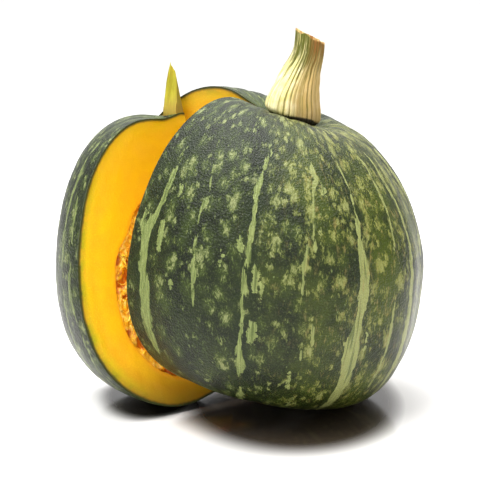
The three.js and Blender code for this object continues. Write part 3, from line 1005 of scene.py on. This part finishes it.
def pulp_piece(name, pose, sector, across, down, layers, strands, seed):
    """The pulp between hollow and cavity wall, with strings on its cut faces and in the hollow."""
    sheet = Sheet()
    first, last = sector
    polar = polar_steps(down)
    longitude = np.linspace(first * RAD, last * RAD, across + 1)
    lon, pol = np.meshgrid(longitude, polar)
    sheet.grid(pulp_point(lon, pol, 0.0))
    sheet.grid(pulp_point(lon, pol, 1.0))
    part, pol_face = np.meshgrid(np.linspace(0, 1, layers + 1), polar)
    for column in (0, -1):
        sheet.grid(pulp_point(np.full(part.shape, longitude[column]), pol_face, part))
    points, pocket = worn_cuts(np.concatenate(sheet.points), sector, seed)
    sheet.points = [points]
    sheet.fields["depth"] = [pocket[:, None]]

    random = np.random.default_rng(seed)
    t = np.linspace(0, 1, STRAND_STEPS)

    def string(path, thick):
        radii = thick * (THIN_END + (1 - THIN_END) * np.sin(np.pi * np.clip(t, 0.04, 0.96)))
        sheet.add(*tube(path, radii, STRAND_SIDES))

    for _ in range(strands):
        angle, side = (first, 1) if random.random() < 0.5 else (last, -1)
        start = random.uniform(*FACE_START) * math.pi
        run = random.uniform(*FACE_RUN)
        near, far = sorted((random.uniform(0.0, 0.75), random.uniform(0.45, 1.0)))
        lift = PULP_RECESS * 0.55 + 0.5 * np.sin(t * random.uniform(4, 9) + random.uniform(0, 6))
        pol_line = start + run * t + 0.03 * np.sin(t * random.uniform(5, 12))
        path = pulp_point(np.full(STRAND_STEPS, angle * RAD), pol_line, near + (far - near) * t)
        normal = cut_directions(angle, side)[1]
        string(path + normal * np.clip(lift, 0.25, 3)[:, None], random.uniform(*FACE_THICK))
    for _ in range(strands):
        lon_start = random.uniform(first + 3, last - 3) * RAD
        start = random.uniform(*HOLLOW_START) * math.pi
        lon_line = lon_start + random.uniform(*HOLLOW_TURN) * t
        lon_line = np.clip(lon_line, (first + 2) * RAD, (last - 2) * RAD)
        pol_line = start + random.uniform(*HOLLOW_RUN) * t
        sag = -np.sin(np.pi * t) * random.uniform(*HOLLOW_SAG)
        string(pulp_point(lon_line, pol_line, sag), random.uniform(*HOLLOW_THICK))
    return piece(name, sheet, pose, (PULP_MATERIAL,), sharp=70)


main_pulp = pulp_piece(
    "squash_pulp_fine", BODY_POSE, BODY_SECTOR, across=200, down=110, layers=26, strands=170, seed=501
)
wedge_pulp = pulp_piece(
    "wedge_pulp_fine", WEDGE_POSE, WEDGE_SECTOR, across=60, down=150, layers=60, strands=130, seed=601
)

# ---- seeds

SEED_RINGS, SEED_SIDES = 9, 14
SEED_LENGTHS, SEED_WIDTHS, SEED_THICK = (13.2, 15.2), (7.6, 8.8), 2.6
SEED_SINK = 1.04              # seeds are sunk this far into the pulp, as a share of the hollow
FIRST_ROW, ROW_STEP = 55, 24  # polar angles, degrees
CLEAR_OF_CUT = 9              # degrees
ROW_TILT, ROW_SWING = 18, 25  # degrees, the most that a seed in a row leans
# loose seeds: place (share of the way down), depth in the pulp (share), height off the cut (mm), turn and tip
LOOSE_FIRST, LOOSE_SPREAD, LOOSE_JITTER = 0.26, 0.5, (-0.02, 0.02)
LOOSE_PART, LOOSE_LIFT, LOOSE_TURN, LOOSE_TIP = (0.12, 0.42), (2.2, 3.2), (-28, 28), (-50, 50)


def seed_form(length, width, thick):
    """A flat seed, pointed at one end, with a raised rim."""
    points = []
    for ring in range(SEED_RINGS + 1):
        t = ring / SEED_RINGS
        along = (t - 0.5) * length
        half = width / 2 * math.sqrt(max(0.0, 1 - (2 * t - 1) ** 2)) * (1 - 0.42 * (1 - t) ** 1.5)
        for step in range(SEED_SIDES):
            angle = 2 * math.pi * step / SEED_SIDES
            across = half * math.cos(angle)
            rim = 1 + 0.25 * math.exp(-(((abs(math.cos(angle)) - 0.86) / 0.12) ** 2))
            lift = thick / 2 * math.sin(angle) * min(1.0, half / (width * 0.3)) * rim
            points.append((lift, across, along))
    return np.array(points), quads(SEED_RINGS + 1, SEED_SIDES, wrap=True)


def spin(axis, degrees):
    return np.array(Matrix.Rotation(degrees * RAD, 3, axis))


def seed_piece(name, pose, sector, loose, seed):
    """Seeds in rows on the hollow's wall, as in the solids, and loose ones on the cut faces."""
    sheet = Sheet()
    random = np.random.default_rng(seed)
    first, last = sector
    places = []
    for row in range(SEED_ROWS):
        polar = (FIRST_ROW + ROW_STEP * row) * RAD
        for step in range(SEEDS_PER_ROW):
            longitude = TURN * (step + 0.5 * (row % 2)) / SEEDS_PER_ROW
            gap = min(abs(longitude - CUT_FROM), abs(longitude - CUT_TO))
            inside = (longitude - first) % TURN < (last - first)
            if gap < CLEAR_OF_CUT or not inside:
                continue
            tilt = ROW_TILT * math.sin(step * 2.1 + row)
            swing = ROW_SWING * math.cos(step * 1.7 + row)
            centre = egg(np.array(longitude * RAD), np.array(polar), PULP_HOLLOW * SEED_SINK)
            places.append((centre, spin("Z", longitude) @ spin("Z", swing) @ spin("X", tilt)))
    for number in range(loose):
        angle, side = (last, -1) if number % 2 else (first, 1)
        share = LOOSE_FIRST + LOOSE_SPREAD * (number + 0.5) / loose
        polar = (share + random.uniform(*LOOSE_JITTER)) * math.pi
        part = random.uniform(*LOOSE_PART)
        centre = pulp_point(np.array([angle * RAD]), np.array([polar]), np.array([part]))[0]
        centre = centre + cut_directions(angle, side)[1] * random.uniform(*LOOSE_LIFT)
        turned = spin("Z", angle + 90 + random.uniform(*LOOSE_TURN)) @ spin("X", random.uniform(*LOOSE_TIP))
        places.append((centre, turned))
    for centre, rotation in places:
        points, faces = seed_form(random.uniform(*SEED_LENGTHS), random.uniform(*SEED_WIDTHS), SEED_THICK)
        sheet.add(points @ rotation.T + centre, faces)
    return piece(name, sheet, pose, (SEED_MATERIAL,), sharp=60)


main_seeds = seed_piece("squash_seeds", BODY_POSE, BODY_SECTOR, loose=12, seed=701)
wedge_seeds = seed_piece("wedge_seeds", WEDGE_POSE, WEDGE_SECTOR, loose=10, seed=801)

# ---- stem

STEM_AROUND, STEM_RINGS, STEM_CAP_RINGS = 420, 100, 12
RIDGE_SHARE, FINE_RIDGES = 0.035, 35
GROOVE_DEPTH, NECK_GROOVE_DEPTH = 0.9, 0.55
FIBRE_DEPTH, FIBRE_SIZE, FIBRE_STRETCH = 0.16, 1.6, 0.15
# the body's weathered stem beside its plain solid: the neck leans out and is thinner, the foot curls in above
# the skin, and the side that tore is thinner low down
NECK_RANGE, NECK_LEAN, NECK_LOSS = (30, 46), 0.9, 0.05
FOOT_CURL, FOOT_CURL_HEIGHT, FOOT_SHARE = 0.3, 5.0, 0.95
TORN_LONGITUDE, TORN_WIDTH, TORN_LOSS, TORN_RANGE = 168, 32, 0.17, (16, 32)
RIGHT_GAIN = 0.06
TOP_BOWL = 1.3                # the cut top is dished
# the sliver stays broad almost to its end, then closes to a point above the solid's
SLIVER_TOP, SLIVER_POINT, SLIVER_END = 63.6, 14.0, (34.0, 90.0)
SLIVER_NARROWS, SLIVER_TIP_SHIFT, SLIVER_CLOSES, SLIVER_POWER = (30, 58), 2.2, 0.94, 2.5
KNIFE_HEIGHTS, KNIFE_REACH, CUT_GAP = (-60, 240), 3, 0.15


def stem_centre(height, share):
    """Middle of the stem along X."""
    lean = NECK_LEAN * smooth(height, *NECK_RANGE) if share is BODY_STEM else 0
    return STEM_OFFSET + share["bend"] * smooth(height, *STEM_BEND_RANGE) + lean


def stem_groove(longitude, height):
    """0 on a ridge, 1 in the bottom of a groove."""
    drift = longitude + 0.03 * np.sin(height / 11 + longitude * 2) + 0.03 * np.sin(longitude * 5)
    broad = (0.5 - 0.5 * np.cos(STEM_RIDGES * drift)) ** 3
    fine = (0.5 + 0.5 * np.cos(FINE_RIDGES * drift)) ** 2.5
    return np.maximum(0.5 * broad, (0.68 + 0.3 * np.sin(longitude * 7 + 1)) * fine)


def above_skin(longitude, height):
    """Height above the place where the body's skin meets the foot of the stem, mm."""
    x = STEM_OFFSET + FOOT_SHARE * STEM_FOOT * np.cos(longitude)
    y = FOOT_SHARE * STEM_FOOT * np.sin(longitude)
    met = skin(np.arctan2(y, x), np.arcsin(np.hypot(x, y) / RADIUS), STEM_DIP)
    return height + STEM_SEAT - met[..., 2]


def stem_surface(longitude, along, share):
    """Side of the stem; along runs from 0 at the root to 1 at the rim of the cut top."""
    top = share["top"] if share is BODY_STEM else SLIVER_TOP
    height = share["root"] + (top - share["root"]) * along
    taper = smooth(height, *STEM_TAPER)
    ridge = 1 + RIDGE_SHARE * np.cos(STEM_RIDGES * longitude) + 0.03 * np.cos(3 * longitude)
    rib = share["rib"] * smooth(height, *STEM_RIB_RISE) * (1 - smooth(height, *SLIVER_END))
    rib_width = STEM_RIB_WIDTH * (1 - 0.3 * smooth(height, *SLIVER_NARROWS))
    rib = rib * hump(longitude / RAD, STEM_RIB_LONGITUDE, rib_width)
    reach = (STEM_FOOT + (STEM_NECK - STEM_FOOT) * taper) * ridge + rib
    groove_depth = GROOVE_DEPTH - (GROOVE_DEPTH - NECK_GROOVE_DEPTH) * taper
    reach = reach - groove_depth * stem_groove(longitude, height)
    if share is BODY_STEM:
        torn = hump(longitude / RAD, TORN_LONGITUDE, TORN_WIDTH)
        reach = reach * (1 - TORN_LOSS * torn * (1 - 0.6 * smooth(height, *TORN_RANGE)))
        reach = reach * (1 + RIGHT_GAIN * np.clip(np.cos(longitude), 0, 1))
        curl = np.clip(1 - above_skin(longitude, height) / FOOT_CURL_HEIGHT, 0, 1)
        reach = reach * (1 - FOOT_CURL * curl**2)
        reach = reach * (1 - NECK_LOSS * smooth(height, *NECK_RANGE))
    fibres = fractal(round_axis(reach, longitude, height * FIBRE_STRETCH), FIBRE_SIZE, 3, 91)
    reach = reach - FIBRE_DEPTH * (1 + fibres)
    x, y = reach * np.cos(longitude), reach * np.sin(longitude)
    slant = x * math.tan(STEM_TOP_SLANT * RAD) * (np.clip(height, 0, None) / BODY_STEM["top"]) ** 3
    if share is BODY_STEM:
        crumble = 0.5 + 0.7 * fractal(np.stack([x, y, 0 * x], -1), 4, 3, 93) - 0.17 * (x + 7)
        slant = slant + crumble * smooth(along, 0.86, 1.0)
    return np.stack([stem_centre(height, share) + x, y, STEM_SEAT + height - slant], axis=-1)


def whole_stem(share):
    """The stem, closed top and bottom, before the knife cuts."""
    sheet = Sheet()
    longitude = np.linspace(0, 2 * math.pi, STEM_AROUND, endpoint=False)
    side = stem_surface(*np.meshgrid(longitude, np.linspace(0, 1, STEM_RINGS)), share)
    sheet.grid(side, wrap=True)
    part = np.linspace(0, 1, STEM_CAP_RINGS)[:, None, None]
    inside = 1 - part[..., 0]
    for ring, bowl in ((side[0], 0.0), (side[-1], TOP_BOWL)):
        centre = ring.mean(axis=0)
        disc = centre + (ring - centre)[None] * part
        disc[..., 2] -= bowl * (1 - part[..., 0] ** 2) * smooth(inside, 0.04, 0.3)
        disc[..., 2] += 0.25 * fractal(disc, 1.2, 2, 95) * smooth(inside, 0.0, 0.2)
        sheet.grid(disc, wrap=True)
    return sheet


def knife_object(inset, edge_lost, materials):
    """The sector between the two cuts as a tall prism, its faces moved inset into it."""
    first, middle, second = (cut_directions(cut)[0] for cut in (CUT_FROM, (CUT_FROM + CUT_TO) / 2, CUT_TO))
    back = inset / math.sin((CUT_TO - CUT_FROM) / 2 * RAD) * middle
    edge = edge_lost * second
    corners = [edge + back]
    for cut in (first, second):
        corners.append(edge + KNIFE_REACH * (RADIUS * cut - edge) + back)
    points = [corner + [0, 0, height] for height in KNIFE_HEIGHTS for corner in corners]
    sides = [(step, (step + 1) % 3, (step + 1) % 3 + 3, step + 3) for step in range(3)]
    mesh = new_mesh("stem_knife", points, [(2, 1, 0), (3, 4, 5)] + sides, materials)
    mesh.polygons.foreach_set("material_index", [1] * len(mesh.polygons))
    return new_object("stem_knife", mesh)


def drawn_to_point(local):
    """The sliver's upper end closes over the middle of the section where it starts to narrow."""
    start = local[:, 2].max() - SLIVER_POINT
    ring = local[np.abs(local[:, 2] - start) < 1.5]
    middle = (ring.min(axis=0) + ring.max(axis=0))[:2] / 2 + [SLIVER_TIP_SHIFT, 0]
    share = np.clip((local[:, 2] - start) / SLIVER_POINT, 0, 1) ** SLIVER_POWER
    closed = local.copy()
    closed[:, :2] += (middle - local[:, :2]) * SLIVER_CLOSES * share[:, None]
    return closed


def stem_fields(local, share):
    """Colour fields of the cut stem: grooves, heights, where the gap at the foot gets painted shade, and the
    warm side.
    """
    height = local[:, 2] - STEM_SEAT
    off_centre = local[:, 0] - stem_centre(height, share)
    longitude = np.arctan2(local[:, 1], off_centre)
    along_cut = height + off_centre * math.tan(0.7 * STEM_TOP_SLANT * RAD)
    # the gap shows less on the near side, where the skin rises against the foot, so its painted shade reaches
    # higher there
    hidden = 3.4 * hump(longitude / RAD, -55, 50)
    return {
        "stripe": stem_groove(longitude, height),
        "depth": height,
        "cut": np.where(height > 30, along_cut, height),
        "gap": above_skin(longitude, height) - hidden if share is BODY_STEM else height + 30,
        "sunny": 0.5 + 0.5 * np.cos(longitude - 340 * RAD),
        "skin_map": round_axis(STEM_MAP_RADIUS, longitude, height / MAP_DOWN),
    }


def stem_piece(name, pose, share, operation, inset, edge_lost, materials):
    """The stem cut by the knife; the second material shows on the cut."""
    mesh = whole_stem(share).mesh(name + "_whole", materials)
    weld(mesh, 1e-4)
    made = new_object(name, mesh)
    knife = knife_object(inset, edge_lost, materials)
    cut = made.modifiers.new("cut", "BOOLEAN")
    cut.object = knife
    cut.operation = operation
    cut.solver = "EXACT"
    graph = bpy.context.evaluated_depsgraph_get()
    result = bpy.data.meshes.new_from_object(made.evaluated_get(graph))
    made.modifiers.clear()
    made.data = result
    bpy.data.objects.remove(knife)
    local = np.empty(len(result.vertices) * 3)
    result.vertices.foreach_get("co", local)
    local = local.reshape(-1, 3)
    set_fields(result, stem_fields(local, share))
    if share is WEDGE_STEM:
        local = drawn_to_point(local)
    result.vertices.foreach_set("co", stand(local, pose).ravel())
    shade(result, 40)
    return made


main_stem = stem_piece(
    "squash_stem_fine", BODY_POSE, BODY_STEM, "DIFFERENCE", -CUT_GAP, 0.0, (STEM_MATERIAL, CUT_STEM_MATERIAL)
)
wedge_stem = stem_piece(
    "wedge_stem_fine", WEDGE_POSE, WEDGE_STEM, "INTERSECT", CUT_GAP, EDGE_LOST, SLIVER_MATERIALS
)

# ---- what stands for what

for made, nodes, slot in (
    (main, ("squash_body",), "body_rind_and_flesh"),
    (wedge, ("wedge_body",), "wedge_rind_and_flesh"),
    (main_pulp, ("squash_pulp",), "body_pulp"),
    (wedge_pulp, ("wedge_pulp",), "wedge_pulp"),
    (main_seeds, (), "body_pulp"),
    (wedge_seeds, (), "wedge_pulp"),
    (main_stem, ("squash_stem",), "stem"),
    (wedge_stem, ("wedge_stem",), "stem_sliver"),
):
    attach(made, "root")
    if nodes:
        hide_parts(*nodes)

# ---- stage, light and camera

FLOOR_REACH, FLOOR_DROP = 60.0, 0.0003
ELEVATION, DISTANCE, LENS = 11.5 * RAD, 0.675, 91.7
TARGET = Vector((0.0005, -0.0005, 0.08921))

work = bmesh.new()
bmesh.ops.create_grid(work, x_segments=8, y_segments=8, size=FLOOR_REACH)
floor_mesh = bpy.data.meshes.new("studio_floor")
work.to_mesh(floor_mesh)
work.free()
floor_mesh.materials.append(floor_material())
floor = new_object("studio_floor", floor_mesh)
floor.location = (0, 0, -FLOOR_DROP)


def aim(made, place, target):
    made.location = place
    made.rotation_euler = (Vector(target) - Vector(place)).to_track_quat("-Z", "Y").to_euler()


def softbox(name, place, target, size, power):
    data = bpy.data.lights.new(name, "AREA")
    data.shape = "RECTANGLE"
    data.size, data.size_y = size
    data.energy = power
    aim(new_object(name, data), place, target)


softbox("key", (-0.46, -0.50, 1.25), (0, 0, 0.09), (0.7, 0.6), 21)
softbox("top", (0.1, 0.35, 1.3), (0, 0, 0.1), (1.3, 1.0), 26)
softbox("fill_right", (0.9, -0.8, 0.5), (0, 0, 0.09), (0.5, 0.7), 2.0)
softbox("fill_low", (-0.1, -1.1, 0.12), (0, 0, 0.03), (0.9, 0.2), 2.2)


def studio_world():
    """White overhead and behind, dim in front: a backdrop that curves up over the table."""
    world = bpy.data.worlds.new("studio")
    world.use_nodes = True
    n = Nodes(world.node_tree)
    way = n.split(n.place("Generated"))
    overhead = n.fit(way["Z"], 0.3, 0.95, 0.08, 1.9)
    behind = n.rise(way["Y"], 0.4, 0.95, 0.92)
    backdrop = n.tree.nodes["Background"]
    n.put(backdrop.inputs["Strength"], n.plus(overhead, behind))
    n.put(backdrop.inputs["Color"], (1, 1, 1, 1))
    return world


bpy.context.scene.world = studio_world()
bpy.context.scene.view_settings.view_transform = "Standard"

camera_data = bpy.data.cameras.new("camera")
camera_data.sensor_width = 36
camera_data.lens = LENS
camera_data.clip_start = 0.01
camera = new_object("camera", camera_data)
aim(camera, TARGET + DISTANCE * Vector((0, -math.cos(ELEVATION), math.sin(ELEVATION))), TARGET)
bpy.context.scene.camera = camera
